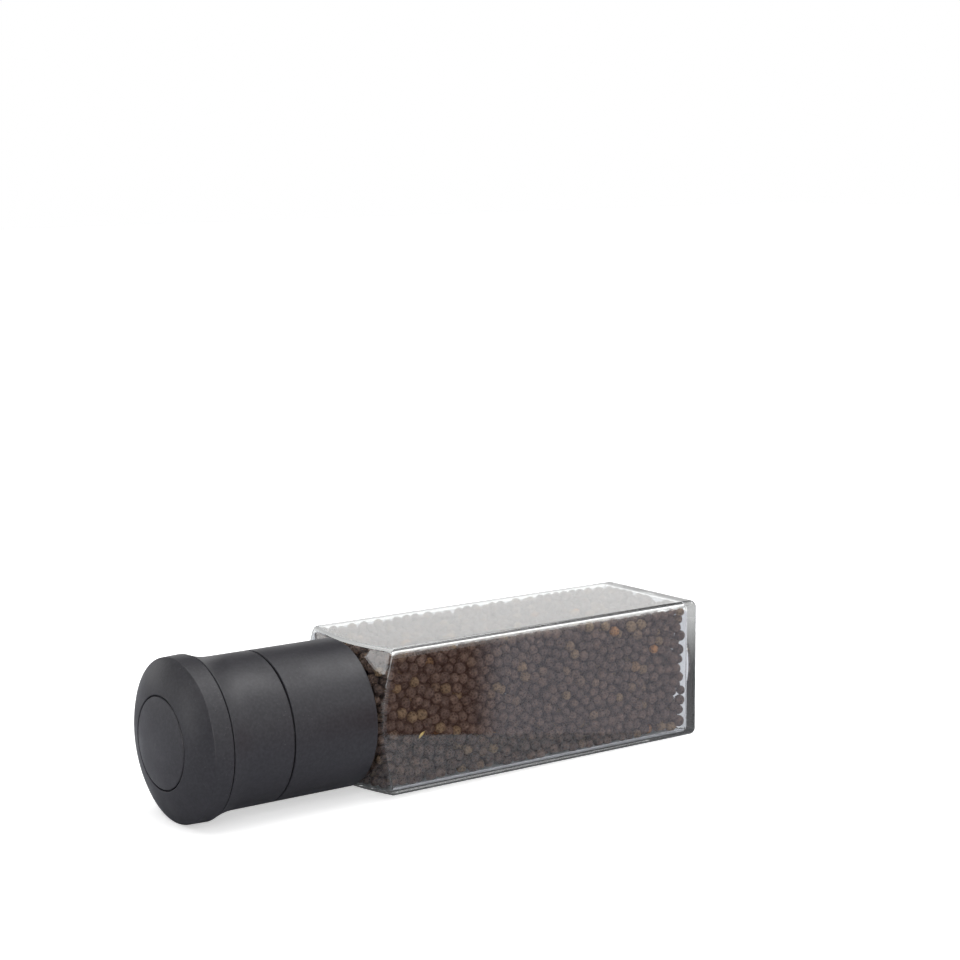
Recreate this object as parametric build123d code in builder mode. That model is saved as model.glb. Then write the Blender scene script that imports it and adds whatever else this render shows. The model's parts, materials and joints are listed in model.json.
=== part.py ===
from build123d import *

import os
from math import asin, atan2, cos, degrees, hypot, pi, radians, sin, sqrt, tan

# A glass pepper mill lying on its side: a square bottle full of peppercorns with a
# black grinding head. Heights run along the mill's axis from the bottle's base to
# the lid, radii run out from that axis. All lengths are in millimetres.

# Bottle
bottle_width = 55.0
bottle_corner = 2.8
bottle_wall = 1.8
bottle_floor = 4.5
heel_radius = 2.3
push_up_radius = 17.0
push_up_depth = 1.2
face_height = 152.2
shoulder_slope = 23.5
shoulder_edge = 2.2
cavity_corner = 2.2
cavity_foot = 1.6
neck_inset = 6.7
neck_wall = 2.6
neck_length = 19.5
mouth_edge = 0.8

# Screw thread between the bottle's neck and the grinding head
thread_pitch = 4.0
thread_depth = 1.2
thread_foot = 2.0
thread_tip = 1.0
thread_bury = 0.4
thread_clearance = 0.4
neck_thread_turns = 1.5
head_thread_turns = 1.25
thread_start = 4.5

# Peppercorns
fill_gap = 0.1
fill_headroom = 1.0
corn_pitch = 8.8
corn_width = 8.6
corn_waist = 6.4
corn_rise = 4.2
corn_crown = 1.6
corn_sunk = 2.2
corn_sides = 6

# Sealing liner on the bottle's mouth
liner_thickness = 1.2
liner_lip = 2.2
seat_gap = 0.05

# Fixed sleeve of the head
skirt_overhang = 0.2
skirt_wall = 1.8
skirt_length = 34.5
skirt_rise = 2.4
thread_wall = 1.6
thread_wall_rise = 3.2
deck_thickness = 2.0
feed_radius = 15.2
spigot_wall = 1.85
spigot_length = 10.6
outer_edge = 0.35

# Grinding stones
burr_height = 11.0
burr_radius = 16.95
burr_seat_gap = 0.05
cup_wall = 1.6
retainer_thickness = 1.6
retainer_bore = 14.6
ring_tooth_count = 20
ring_feed_radius = 13.5
ring_outlet_radius = 13.7
ring_feed_tooth = 1.4
ring_outlet_tooth = 0.7
cone_tooth_count = 14
cone_feed_radius = 8.6
cone_feed_tooth = 2.0
cone_outlet_tooth = 0.7
cone_twist = 18.0
cone_feed_gap = 0.5
cone_proud = 1.0
fine_gap = 0.45
adjust_travel = 1.0

# Turning collar
running_gap = 0.05
washer_thickness = 0.55
washer_recess = 1.0
collar_length = 25.1
flare_length = 10.0
flare = 2.0
rim_wall = 2.3
mouth_flare = 5.0
flange_thickness = 2.2
flange_width = 4.9
flange_gap = 0.6
snap_ring_height = 1.1
snap_ring_width = 1.9
snap_ring_bite = 1.15
snap_ring_rise = 5.0
snap_ring_opening = 14.0
snap_ring_gap = 0.3

# Bridge that carries the spindle
bridge_thickness = 2.0
bridge_rim = 3.9
bridge_arm_count = 3
bridge_arm_width = 4.0
bridge_arm_height = 3.2
hub_radius = 5.5
hub_drop = 1.8
hub_height = 7.5
screw_inset = 2.2
screw_radius = 0.9
screw_head_radius = 1.6
screw_head_height = 1.1
screw_length = 3.6
screw_slot_width = 0.5
screw_slot_depth = 0.5
screw_gap = 0.05

# Spindle, spring and adjuster
spindle_width = 4.4
spindle_gap = 0.05
spindle_tail = 1.2
spindle_screw_radius = 2.0
spindle_screw_length = 6.0
clip_thickness = 0.8
clip_radius = 4.2
clip_neck_radius = 1.8
clip_opening = 60.0
spring_washer_radius = 5.6
spring_washer_thickness = 0.8
spring_wire = 0.9
spring_radius = 4.4
spring_turns = 4
knob_radius = 8.0
knob_height = 7.6
knob_roof = 1.4
knob_flute_count = 12
knob_flute_radius = 1.5
knob_flute_proud = 0.7
knob_gap = 0.3
nut_width = 7.0
nut_height = 4.0

# Lid
lid_gap = 0.5
lid_overhang = 0.3
lid_draft = 0.25
lid_band = 7.3
lid_wall = 1.8
dome_rise = 5.3
dome_crown = 0.6
disc_radius = 16.6
disc_groove = 0.4
disc_edge = 1.6
disc_rim = 0.5
disc_crown = 2.0
plug_clearance = 0.5
plug_wall = 1.9
plug_gap = 1.0
seal_wire_radius = 0.7
seal_rise = 1.9

# Places along the axis, worked out from the sizes above
half_width = bottle_width / 2
neck_radius = half_width - neck_inset
skirt_radius = half_width + skirt_overhang
neck_foot = face_height + (half_width - neck_radius) * tan(radians(shoulder_slope))
mouth = neck_foot + neck_length
liner_bore = neck_radius - neck_wall - liner_lip
deck_bottom = mouth + liner_thickness + 2 * seat_gap
deck_top = deck_bottom + deck_thickness
skirt_bottom = face_height + skirt_rise
skirt_top = skirt_bottom + skirt_length
spigot_top = skirt_top + spigot_length
spigot_radius = skirt_radius - skirt_wall - running_gap
burr_top = deck_top + burr_height
cup_top = burr_top + retainer_thickness
cone_bottom = deck_top + cone_feed_gap
cone_top = burr_top + cone_proud
collar_bottom = skirt_top + washer_thickness + running_gap
collar_top = collar_bottom + collar_length
collar_bore = spigot_radius + running_gap
rim_radius = skirt_radius + flare
flange_bore = collar_bore - flange_width
bridge_bore = collar_bore - bridge_rim
screw_circle = collar_bore - screw_inset
flange_bottom = spigot_top + flange_gap
flange_top = flange_bottom + flange_thickness
bridge_top = flange_top + bridge_thickness
hub_bottom = flange_top - hub_drop
hub_top = hub_bottom + hub_height
washer_top = cone_top + spring_washer_thickness
spindle_end = cone_bottom - clip_thickness - spindle_tail
spindle_top = hub_top + spindle_screw_length
knob_bottom = hub_top + knob_gap
lid_radius = rim_radius + lid_overhang
plug_radius = collar_bore - plug_clearance
lid_bottom = collar_top + lid_gap
lid_edge = lid_bottom + lid_band
disc_level = lid_edge + dome_rise
disc_floor = disc_level - disc_edge
lid_roof = disc_floor - lid_wall
lid_apex = disc_level + disc_crown
plug_bottom = bridge_top + screw_head_height + plug_gap
seal_level = plug_bottom + seal_rise
neck_thread = neck_foot + thread_start
head_bore = neck_radius + thread_depth + thread_clearance
seal_radius = collar_bore - running_gap - seal_wire_radius

# The fill's core, which its outermost corns stand on
fill_bore = neck_radius - neck_wall - fill_gap
core_depth = bottle_wall + fill_gap + corn_rise
core_half = half_width - core_depth
core_foot = bottle_floor + fill_gap + corn_rise
core_bevel = corn_pitch / sqrt(2) / 2
core_side = 2 * (core_half - core_bevel)
core_corner = sqrt(2) * core_half - core_bevel / sqrt(2)
corn_ring = (fill_bore + core_half) / 2
corn_ring_count = int(2 * pi * corn_ring / corn_pitch)

# The mill lies on its bottle's heel and its lid's rim, so its axis rises to the head
rest_span = lid_bottom - heel_radius
rest_drop = lid_radius - half_width + heel_radius
lie_angle = atan2(rest_drop, rest_span) - asin(heel_radius / hypot(rest_span, rest_drop))
heel_reach = (half_width - heel_radius) * sin(lie_angle) + heel_radius
base_x = ((lid_apex + heel_radius) * cos(lie_angle) - heel_reach) / 2
base_z = heel_radius * (1 - sin(lie_angle)) + (half_width - heel_radius) * cos(lie_angle)
mill = Plane(
    origin=(base_x, 0, base_z),
    x_dir=(0, -1, 0),
    z_dir=(-cos(lie_angle), 0, sin(lie_angle)),
)
axial = Plane(origin=mill.origin, x_dir=mill.x_dir, z_dir=-mill.y_dir)
mill_axis = Axis(mill.origin, mill.z_dir)


def turn(*outline, mode=Mode.ADD):
    """Turn a closed outline of (radius, height) points about the mill's axis."""
    with BuildSketch(axial) as profile:
        with BuildLine():
            Polyline(*outline, close=True)
        make_face()
    revolve(profile.sketch, axis=mill_axis, mode=mode)


def ring(inner, outer, low, high, mode=Mode.ADD):
    """A plain turned ring, or a disc where the inner radius is zero."""
    turn((inner, low), (outer, low), (outer, high), (inner, high), mode=mode)


def shoulder_height(radius, depth):
    """Height of the sloping shoulder at a radius, measured a depth below its surface."""
    slope = radians(shoulder_slope)
    return face_height + (half_width - radius) * tan(slope) - depth / cos(slope)


def shoulder_cut(depth, top_radius):
    """Keep what lies under the shoulder's cone."""
    turn(
        (0, 0),
        (bottle_width, 0),
        (bottle_width, shoulder_height(bottle_width, depth)),
        (top_radius, shoulder_height(top_radius, depth)),
        (0, shoulder_height(top_radius, depth)),
        mode=Mode.INTERSECT,
    )


def bottle_hollow():
    """The space inside the bottle, up to the foot of its neck."""
    width = bottle_width - 2 * bottle_wall
    with BuildPart() as hollow:
        with BuildSketch(mill.offset(bottle_floor)) as section:
            RectangleRounded(width, width, cavity_corner)
        extrude(section.sketch, amount=neck_foot)
        fillet(hollow.edges().group_by(mill_axis)[0], cavity_foot)
        shoulder_cut(bottle_wall, neck_radius - neck_wall)
    return hollow.part


def outer_corn():
    """A lump of corns: a sunk foot, a waist and a crown that stands out of the fill's core."""
    points = [(0, 0, corn_rise)]
    for radius, level in ((corn_width / 2, -corn_sunk), (corn_waist / 2, corn_rise - corn_crown)):
        for step in range(corn_sides):
            angle = 2 * pi * step / corn_sides
            points.append((radius * cos(angle), radius * sin(angle), level))
    with BuildPart() as corn:
        ConvexPolyhedron(points)
    return corn.part


def corn_rows(face, length, width):
    """Places for staggered rows of corns, as many as a face of the fill's core holds."""
    row_step = corn_pitch * sin(radians(60))
    along = int(length / corn_pitch - 0.5)
    across = int((width - corn_width) / row_step) + 1
    return [face * place for place in HexLocations(corn_pitch / 2, across, along)]


def side_corns(angle, reach, width):
    """Places for the corns on one long face of the fill's core."""
    top = shoulder_height(hypot(reach, width / 2), core_depth)
    middle = Pos(reach, 0, (core_foot + top) / 2)
    outward = Rotation(0, 90, 0) * Rotation(0, 0, 90)
    face = mill.location * Rotation(0, 0, angle) * middle * outward
    return corn_rows(face, top - core_foot, width)


def shoulder_corns(radius, count, start):
    """Places for a ring of corns on the sloping shoulder of the fill's core."""
    level = Pos(radius, 0, shoulder_height(radius, core_depth)) * Rotation(0, shoulder_slope, 0)
    turns = [Rotation(0, 0, start + 360 * step / count) for step in range(count)]
    return [mill.location * turned * level for turned in turns]


def thread_ridge(root, crest, start, turns):
    """A screw ridge that stands from a root radius to a crest radius."""
    reach = crest - root
    bury = -reach * thread_bury / thread_depth
    heel = thread_foot + (thread_foot - thread_tip) * thread_bury / thread_depth
    with BuildPart() as ridge:
        with BuildLine() as path:
            Helix(pitch=thread_pitch, height=turns * thread_pitch, radius=root)
        with BuildSketch(Plane(path.line @ 0, x_dir=(1, 0, 0), z_dir=path.line % 0)) as section:
            with BuildLine():
                Polyline(
                    (bury, -heel / 2),
                    (bury, heel / 2),
                    (reach, thread_tip / 2),
                    (reach, -thread_tip / 2),
                    close=True,
                )
            make_face()
        sweep(section.sketch, path=path.line, is_frenet=True)
    return ridge.part.moved(mill.offset(start).location)


def tooth_outline(crest, root, count, turned):
    """Points of a toothed ring, crest and root in turn."""
    points = []
    for step in range(2 * count):
        radius = root if step % 2 else crest
        angle = radians(turned) + step * pi / count
        points.append((radius * cos(angle), radius * sin(angle)))
    return points


def toothed_taper(low, high, low_teeth, high_teeth, count, twist, mode=Mode.ADD):
    """A tapering toothed body between two heights; teeth are (crest, root) radii."""
    with BuildSketch(mill.offset(low)) as low_end:
        Polygon(*tooth_outline(*low_teeth, count, 0), align=None)
    with BuildSketch(mill.offset(high)) as high_end:
        Polygon(*tooth_outline(*high_teeth, count, twist), align=None)
    loft([low_end.sketch, high_end.sketch], ruled=True, mode=mode)


# Bottle: a square glass body under a sloping shoulder and a threaded neck
with BuildPart() as bottle:
    with BuildSketch(mill) as outline:
        RectangleRounded(bottle_width, bottle_width, bottle_corner)
    extrude(outline.sketch, amount=neck_foot)
    fillet(bottle.edges().group_by(mill_axis)[0], heel_radius)
    shoulder_cut(0, neck_radius)
    shoulder_edges = bottle.edges().filter_by(
        lambda edge: face_height - half_width * tan(radians(shoulder_slope))
        < mill.to_local_coords(edge.center()).Z
        < face_height + shoulder_edge
        and edge.geom_type != GeomType.LINE
    )
    fillet(shoulder_edges, shoulder_edge)
    ring(0, neck_radius, neck_foot - bottle_wall, mouth)
    fillet(bottle.edges().group_by(mill_axis)[-1], mouth_edge)
    ring(0, push_up_radius, 0, push_up_depth, mode=Mode.SUBTRACT)
    add(bottle_hollow(), mode=Mode.SUBTRACT)
    ring(0, neck_radius - neck_wall, neck_foot - bottle_wall, mouth, mode=Mode.SUBTRACT)
    add(thread_ridge(neck_radius, neck_radius + thread_depth, neck_thread, neck_thread_turns))
bottle.part.label = "bottle"

# Peppercorns: the loose fill, up into the neck, with its outermost corns in rows
corn_places = corn_rows(mill.offset(core_foot).location * Rotation(180, 0, 0), core_side, core_side)
for corner in range(4):
    corn_places += side_corns(90 * corner, core_half, core_side)
    corn_places += side_corns(90 * corner + 45, core_corner, corn_width)
corn_places += shoulder_corns(corn_ring, corn_ring_count, 0)
corn_places += shoulder_corns(corn_ring + corn_pitch, 4, 45)
with BuildPart() as peppercorns:
    with BuildSketch(mill.offset(core_foot)) as section:
        Rectangle(2 * core_half, 2 * core_half)
        chamfer(section.vertices(), core_bevel)
    extrude(section.sketch, amount=neck_foot)
    shoulder_cut(core_depth, fill_bore)
    ring(0, fill_bore, neck_foot - 2 * core_depth, mouth - fill_headroom)
    with Locations(*corn_places):
        add(outer_corn())
peppercorns.part.label = "peppercorns"

# Sealing liner between the bottle's mouth and the head
with BuildPart() as sealing_liner:
    ring(liner_bore, head_bore - thread_clearance, mouth + seat_gap, deck_bottom - seat_gap)
sealing_liner.part.label = "sealing_liner"

# Head base: fixed sleeve, threaded wall, deck, cup for the stone and bearing spigot
cup_bore = burr_radius + burr_seat_gap
sleeve_bore = skirt_radius - skirt_wall
snap_ring_level = skirt_top + snap_ring_rise
snap_groove_radius = spigot_radius - snap_ring_bite
with BuildPart() as head_base:
    ring(sleeve_bore, skirt_radius, skirt_bottom, skirt_top)
    ring(feed_radius, skirt_radius, deck_bottom, deck_top)
    ring(head_bore, head_bore + thread_wall, skirt_bottom + thread_wall_rise, deck_top)
    ring(cup_bore, cup_bore + cup_wall, deck_bottom, cup_top)
    ring(spigot_radius - spigot_wall, skirt_radius, skirt_top - skirt_wall, skirt_top)
    ring(spigot_radius - spigot_wall, spigot_radius, skirt_top - skirt_wall, spigot_top)
    ring(
        snap_groove_radius - seat_gap,
        skirt_radius,
        snap_ring_level - seat_gap,
        snap_ring_level + snap_ring_height + seat_gap,
        mode=Mode.SUBTRACT,
    )
    rim_edges = head_base.edges().filter_by(GeomType.CIRCLE).filter_by(
        lambda edge: abs(edge.radius - skirt_radius) < running_gap
    )
    fillet(rim_edges, outer_edge)
    head_thread = neck_thread + thread_pitch / 2
    add(thread_ridge(head_bore, head_bore - thread_depth, head_thread, head_thread_turns))
head_base.part.label = "head_base"

# Ring burr: ceramic ring with a toothed bore
with BuildPart() as ring_burr:
    ring(0, burr_radius, deck_top, burr_top)
    toothed_taper(
        deck_top,
        burr_top,
        (ring_feed_radius + ring_feed_tooth, ring_feed_radius),
        (ring_outlet_radius + ring_outlet_tooth, ring_outlet_radius),
        ring_tooth_count,
        0,
        mode=Mode.SUBTRACT,
    )
ring_burr.part.label = "ring_burr"

# Burr retainer: ring pressed into the cup over the ceramic ring
with BuildPart() as burr_retainer:
    ring(retainer_bore, burr_radius, burr_top, cup_top)
burr_retainer.part.label = "burr_retainer"

# Slip washer in the seam between the fixed sleeve and the turning collar
with BuildPart() as slip_washer:
    ring(collar_bore, skirt_radius - washer_recess, skirt_top, skirt_top + washer_thickness)
slip_washer.part.label = "slip_washer"

# Snap ring that keeps the collar on the spigot
snap_ring_outer = snap_groove_radius + snap_ring_width
with BuildPart() as snap_ring:
    with BuildSketch(axial) as profile:
        with Locations((snap_groove_radius + snap_ring_width / 2, snap_ring_level + snap_ring_height / 2)):
            Rectangle(snap_ring_width, snap_ring_height)
    revolve(profile.sketch, axis=mill_axis, revolution_arc=360 - snap_ring_opening)
snap_ring.part.label = "snap_ring"

# Collar: the sleeve that the hand turns, flared at its mouth
flare_start = collar_top - flare_length
mouth_start = collar_top - mouth_flare
with BuildPart() as collar:
    with BuildSketch(axial) as profile:
        with BuildLine():
            wall = Line((skirt_radius, collar_bottom), (skirt_radius, flare_start))
            TangentArc(wall @ 1, (rim_radius, collar_top), tangent=wall % 1)
            Polyline(
                (rim_radius, collar_top),
                (rim_radius - rim_wall, collar_top),
                (collar_bore, mouth_start),
                (collar_bore, flange_top),
                (flange_bore, flange_top),
                (flange_bore, flange_bottom),
                (collar_bore, flange_bottom),
                (collar_bore, collar_bottom),
                (skirt_radius, collar_bottom),
            )
        make_face()
    revolve(profile.sketch, axis=mill_axis)
    ring(
        0,
        snap_ring_outer + snap_ring_gap,
        snap_ring_level - snap_ring_gap,
        snap_ring_level + snap_ring_height + snap_ring_gap,
        mode=Mode.SUBTRACT,
    )
    with BuildSketch(mill.offset(flange_bottom)) as pilot_holes:
        with PolarLocations(screw_circle, bridge_arm_count, start_angle=180 / bridge_arm_count):
            Circle(screw_radius + screw_gap)
    extrude(pilot_holes.sketch, amount=flange_thickness, mode=Mode.SUBTRACT)
    rim_edges = collar.edges().filter_by(GeomType.CIRCLE).group_by(mill_axis)
    fillet(rim_edges[0].sort_by(SortBy.RADIUS)[-1], outer_edge)
    fillet(rim_edges[-1], outer_edge)
collar.part.label = "collar"

# Bridge: a ring with arms and a square-holed hub, screwed to the collar's flange
with BuildPart() as bridge:
    ring(bridge_bore, collar_bore - seat_gap, flange_top, bridge_top)
    ring(0, hub_radius, hub_bottom, hub_top)
    with BuildSketch(mill.offset(flange_top)) as arms:
        arm_length = (bridge_bore + screw_circle) / 2
        with PolarLocations(arm_length / 2, bridge_arm_count):
            Rectangle(arm_length, bridge_arm_width)
    extrude(arms.sketch, amount=bridge_arm_height)
    with BuildSketch(mill.offset(hub_bottom)) as square_hole:
        Rectangle(spindle_width + 2 * spindle_gap, spindle_width + 2 * spindle_gap)
    extrude(square_hole.sketch, amount=hub_height, mode=Mode.SUBTRACT)
    with BuildSketch(mill.offset(flange_top)) as screw_holes:
        with PolarLocations(screw_circle, bridge_arm_count, start_angle=180 / bridge_arm_count):
            Circle(screw_radius + screw_gap)
    extrude(screw_holes.sketch, amount=bridge_thickness, mode=Mode.SUBTRACT)
bridge.part.label = "bridge"

# Bridge screws: one group of like screws with slotted heads
with BuildPart() as bridge_screws:
    with BuildSketch(mill.offset(bridge_top)) as heads:
        with PolarLocations(screw_circle, bridge_arm_count, start_angle=180 / bridge_arm_count):
            Circle(screw_head_radius)
    extrude(heads.sketch, amount=screw_head_height)
    with BuildSketch(mill.offset(bridge_top)) as shanks:
        with PolarLocations(screw_circle, bridge_arm_count, start_angle=180 / bridge_arm_count):
            Circle(screw_radius)
    extrude(shanks.sketch, amount=-screw_length)
    with BuildSketch(mill.offset(bridge_top + screw_head_height)) as slots:
        with PolarLocations(screw_circle, bridge_arm_count, start_angle=180 / bridge_arm_count):
            Rectangle(2 * screw_head_radius, screw_slot_width)
    extrude(slots.sketch, amount=-screw_slot_depth, mode=Mode.SUBTRACT)
bridge_screws.part.label = "bridge_screws"

# Spindle: square bar with a clip groove at its foot and a round screw at its top
clip_bottom = cone_bottom - clip_thickness
with BuildPart() as spindle:
    with BuildSketch(mill.offset(spindle_end)) as bar:
        Rectangle(spindle_width, spindle_width)
    extrude(bar.sketch, amount=hub_top - spindle_end)
    ring(clip_neck_radius, spindle_width, clip_bottom, cone_bottom, mode=Mode.SUBTRACT)
    ring(0, spindle_screw_radius, hub_top, spindle_top)
spindle.part.label = "spindle"

# Spindle clip: open ring in the spindle's groove, under the cone
with BuildPart() as spindle_clip:
    with BuildSketch(axial) as profile:
        with Locations(((clip_neck_radius + clip_radius) / 2, clip_bottom + clip_thickness / 2)):
            Rectangle(clip_radius - clip_neck_radius, clip_thickness)
    revolve(profile.sketch, axis=mill_axis, revolution_arc=360 - clip_opening)
spindle_clip.part.label = "spindle_clip"

# Cone burr: ceramic cone with twisted teeth and a square hole
cone_rise = burr_top + adjust_travel - cone_bottom
cone_slope = (ring_outlet_radius - fine_gap - cone_feed_radius) / cone_rise
cone_top_radius = cone_feed_radius + cone_slope * (cone_top - cone_bottom)
with BuildPart() as cone_burr:
    toothed_taper(
        cone_bottom,
        cone_top,
        (cone_feed_radius, cone_feed_radius - cone_feed_tooth),
        (cone_top_radius, cone_top_radius - cone_outlet_tooth),
        cone_tooth_count,
        cone_twist,
    )
    with BuildSketch(mill.offset(cone_bottom)) as square_hole:
        Rectangle(spindle_width + 2 * spindle_gap, spindle_width + 2 * spindle_gap)
    extrude(square_hole.sketch, amount=cone_top - cone_bottom, mode=Mode.SUBTRACT)
cone_burr.part.label = "cone_burr"

# Spring washer on top of the cone
with BuildPart() as spring_washer:
    ring(0, spring_washer_radius, cone_top, washer_top)
    with BuildSketch(mill.offset(cone_top)) as square_hole:
        Rectangle(spindle_width + 2 * spindle_gap, spindle_width + 2 * spindle_gap)
    extrude(square_hole.sketch, amount=spring_washer_thickness, mode=Mode.SUBTRACT)
spring_washer.part.label = "spring_washer"

# Spring: one open coil pressed between the washer and the bridge's hub
spring_low = washer_top + spring_wire / 2 + seat_gap
spring_rise = hub_bottom - spring_wire / 2 - seat_gap - spring_low
quarter_turns = 4 * spring_turns


def coil_point(quarter):
    """A point of the coil's centre line, counted in quarter turns."""
    angle = quarter * pi / 2
    height = spring_low + spring_rise * quarter / quarter_turns
    return mill.from_local_coords((spring_radius * cos(angle), spring_radius * sin(angle), height))


with BuildPart() as spring:
    with BuildLine() as path:
        for quarter in range(quarter_turns):
            ThreePointArc(coil_point(quarter), coil_point(quarter + 0.5), coil_point(quarter + 1))
    with BuildSketch(Plane(path.line @ 0, z_dir=path.line % 0)) as section:
        Circle(spring_wire / 2)
    sweep(section.sketch, path=path.line)
spring.part.label = "spring"

# The spring's least gap to itself, measured between points more than half a turn apart
points_per_turn = 48
point_count = points_per_turn * spring_turns
coil_points = [path.line @ (n / point_count) for n in range(point_count + 1)]
coil_spacing = min(
    (coil_points[first] - coil_points[second]).length
    for first in range(len(coil_points))
    for second in range(first + points_per_turn // 2, len(coil_points))
)
print("least gap between the spring's coils:", round(coil_spacing - spring_wire, 2), "mm")

# Adjuster nut: brass hexagon on the spindle's screw
with BuildPart() as adjuster_nut:
    with BuildSketch(mill.offset(knob_bottom)) as hexagon:
        RegularPolygon(nut_width / 2, 6, major_radius=False)
        Circle(spindle_screw_radius + running_gap, mode=Mode.SUBTRACT)
    extrude(hexagon.sketch, amount=nut_height)
adjuster_nut.part.label = "adjuster_nut"

# Adjuster knob: fluted cap moulded round the nut
knob_top = max(knob_bottom + knob_height, spindle_top + knob_gap + knob_roof)
with BuildPart() as adjuster_knob:
    ring(0, knob_radius, knob_bottom, knob_top)
    with BuildSketch(mill.offset(knob_bottom)) as flutes:
        with PolarLocations(knob_radius + knob_flute_proud, knob_flute_count):
            Circle(knob_flute_radius)
    extrude(flutes.sketch, amount=knob_top - knob_bottom, mode=Mode.SUBTRACT)
    with BuildSketch(mill.offset(knob_bottom)) as pocket:
        RegularPolygon(nut_width / 2, 6, major_radius=False)
    extrude(pocket.sketch, amount=nut_height, mode=Mode.SUBTRACT)
    ring(0, spindle_screw_radius + knob_gap, knob_bottom, knob_top - knob_roof, mode=Mode.SUBTRACT)
adjuster_knob.part.label = "adjuster_knob"

# Lid: domed cap with a plug that enters the collar's mouth
lid_edge_radius = lid_radius - lid_draft
disc_seat_radius = disc_radius + disc_groove
dome_middle = ((lid_edge_radius + disc_seat_radius) / 2, (lid_edge + disc_level) / 2 + dome_crown)
with BuildPart() as lid:
    with BuildSketch(axial) as profile:
        with BuildLine():
            band = Line((lid_radius, lid_bottom), (lid_edge_radius, lid_edge))
            ThreePointArc(band @ 1, dome_middle, (disc_seat_radius, disc_level))
            Polyline(
                (disc_seat_radius, disc_level),
                (disc_seat_radius, disc_floor),
                (0, disc_floor),
                (0, lid_roof),
                (disc_seat_radius - lid_wall, lid_roof),
                (lid_radius - lid_wall, lid_edge - lid_wall),
                (lid_radius - lid_wall, lid_bottom),
                (lid_radius, lid_bottom),
            )
        make_face()
    revolve(profile.sketch, axis=mill_axis)
    roof_fall = dome_rise / (lid_radius - disc_seat_radius)
    plug_roof = lid_roof - (plug_radius + lid_wall - disc_seat_radius) * roof_fall
    ring(plug_radius - plug_wall, plug_radius, plug_bottom, plug_roof + lid_wall)
    ring(
        seal_radius - seal_wire_radius - seat_gap,
        collar_bore,
        seal_level - seal_wire_radius - seat_gap,
        seal_level + seal_wire_radius + seat_gap,
        mode=Mode.SUBTRACT,
    )
    rim_edges = lid.edges().filter_by(GeomType.CIRCLE).filter_by(
        lambda edge: edge.radius > lid_edge_radius - running_gap
    )
    fillet(rim_edges, outer_edge)
    seat_edges = lid.edges().filter_by(GeomType.CIRCLE).filter_by(
        lambda edge: abs(edge.radius - disc_seat_radius) < running_gap
    )
    fillet(seat_edges.sort_by(mill_axis)[-1], outer_edge)
lid.part.label = "lid"

# Lid seal: soft ring in the plug's groove, just clear of the collar's bore
with BuildPart() as lid_seal:
    with BuildSketch(axial) as profile:
        with Locations((seal_radius, seal_level)):
            Circle(seal_wire_radius)
    revolve(profile.sketch, axis=mill_axis)
lid_seal.part.label = "lid_seal"

# Lid disc: low domed disc let into the lid's top
with BuildPart() as lid_disc:
    with BuildSketch(axial) as profile:
        with BuildLine():
            crown = TangentArc((0, lid_apex), (disc_radius, disc_level), tangent=(1, 0))
            Polyline(crown @ 1, (disc_radius, disc_floor), (0, disc_floor), crown @ 0)
        make_face()
    revolve(profile.sketch, axis=mill_axis)
    disc_edges = lid_disc.edges().filter_by(GeomType.CIRCLE).filter_by(
        lambda edge: abs(edge.radius - disc_radius) < running_gap
    )
    fillet(disc_edges.sort_by(mill_axis)[-1], disc_rim)
lid_disc.part.label = "lid_disc"

pieces = [
    bottle,
    peppercorns,
    sealing_liner,
    head_base,
    ring_burr,
    burr_retainer,
    slip_washer,
    snap_ring,
    collar,
    bridge,
    bridge_screws,
    spindle,
    spindle_clip,
    cone_burr,
    spring_washer,
    spring,
    adjuster_nut,
    adjuster_knob,
    lid,
    lid_seal,
    lid_disc,
]
os.makedirs("parts", exist_ok=True)
for piece in pieces:
    export_step(piece.part, f"parts/{piece.part.label}.step")
print("length", round(lid_apex, 2), "mm, lying at", round(degrees(lie_angle), 3), "degrees")
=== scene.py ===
import json
import math

import bmesh
import bpy
import numpy as np
from bpy.props import FloatProperty, FloatVectorProperty, IntProperty, PointerProperty
from mathutils import Matrix, Vector, noise


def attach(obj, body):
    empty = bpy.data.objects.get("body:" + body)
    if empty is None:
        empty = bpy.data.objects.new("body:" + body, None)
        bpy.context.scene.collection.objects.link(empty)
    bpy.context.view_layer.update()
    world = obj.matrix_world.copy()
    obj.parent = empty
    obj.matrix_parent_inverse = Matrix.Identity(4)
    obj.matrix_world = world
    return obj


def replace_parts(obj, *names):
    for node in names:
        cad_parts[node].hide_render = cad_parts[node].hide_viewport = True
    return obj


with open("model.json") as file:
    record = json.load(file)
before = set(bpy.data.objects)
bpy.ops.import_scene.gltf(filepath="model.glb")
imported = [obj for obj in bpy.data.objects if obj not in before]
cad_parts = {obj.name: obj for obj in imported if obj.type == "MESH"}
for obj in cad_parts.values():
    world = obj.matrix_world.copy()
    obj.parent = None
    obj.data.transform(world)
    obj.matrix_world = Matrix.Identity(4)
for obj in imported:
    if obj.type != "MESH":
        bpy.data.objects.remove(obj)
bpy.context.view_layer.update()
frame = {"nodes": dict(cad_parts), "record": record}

bl_info = {
    "name": "Pepper mill looks",
    "version": (1, 0, 0),
    "blender": (4, 5, 0),
    "location": "View3D > Sidebar > Pepper mill",
    "description": "Dresses a lying glass pepper mill: glass, peppercorns, head, burrs and studio",
    "category": "Object",
}

MM = 0.001
WHITE = (1.0, 1.0, 1.0)
BLACK = (0.0, 0.0, 0.0)

# Glass
GLASS_IOR = 1.5
MOULD_WAVES = 0.018  # metres from wave to wave
PAINTED_GLOW_LOW = 0.08  # share of the painted glow inside the wall that is left near the floor
PAINTED_GLOW_HEIGHTS = (0.020, 0.054)  # metres over the floor, from dark to bright, of the painted glow inside the wall
CAUGHT_AFTER = (2, 3)  # mirrorings after which a ray counts as caught inside the wall and sees the painted glow
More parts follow.
